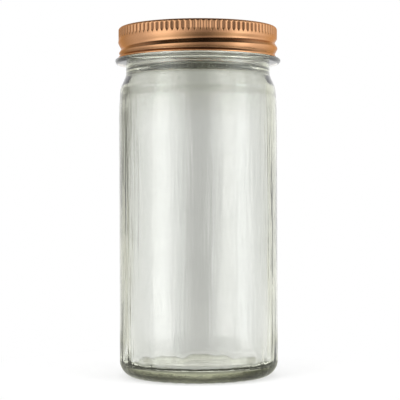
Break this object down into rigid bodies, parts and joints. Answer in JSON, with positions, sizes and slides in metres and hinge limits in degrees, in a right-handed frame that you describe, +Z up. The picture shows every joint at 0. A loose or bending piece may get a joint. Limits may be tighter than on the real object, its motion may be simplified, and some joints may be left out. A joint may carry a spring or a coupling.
{
  "type": "spice jar",
  "caption": "Upright round clear glass spice jar with a beaded neck, closed by a knurled copper-coloured metal screw cap with a loose sealing liner.",
  "frame": {"origin": "middle of the base, in the plane of the ring that the jar stands on", "axes": "+Z up along the axis of the jar, -Y towards the viewer of the picture, +X to the viewer's right"},
  "size_m": [0.0532, 0.0532, 0.1117],
  "materials": {
    "clear_glass": "clear, fire polished",
    "copper_finish": "satin copper-coloured lacquer on sheet metal",
    "white_liner": "matt"
  },
  "bodies": {
    "jar": {"glass_jar": "clear_glass"},
    "liner": {"cap_liner": "white_liner"},
    "cap": {"screw_cap": "copper_finish"}
  },
  "joints": [
    {"name": "cap_lift", "type": "slide", "parent": "jar", "child": "liner", "axis": [0, 0, 1], "range_m": [0, 0.0127]},
    {"name": "cap_turn", "type": "hinge", "parent": "liner", "child": "cap", "pos_m": [0, 0, 0.107], "axis": [0, 0, 1], "range_deg": [0, 1080]}
  ],
  "couplings": [
    {"joint": "cap_lift", "follows": "cap_turn", "m_per_rad": 0.0006737}
  ]
}
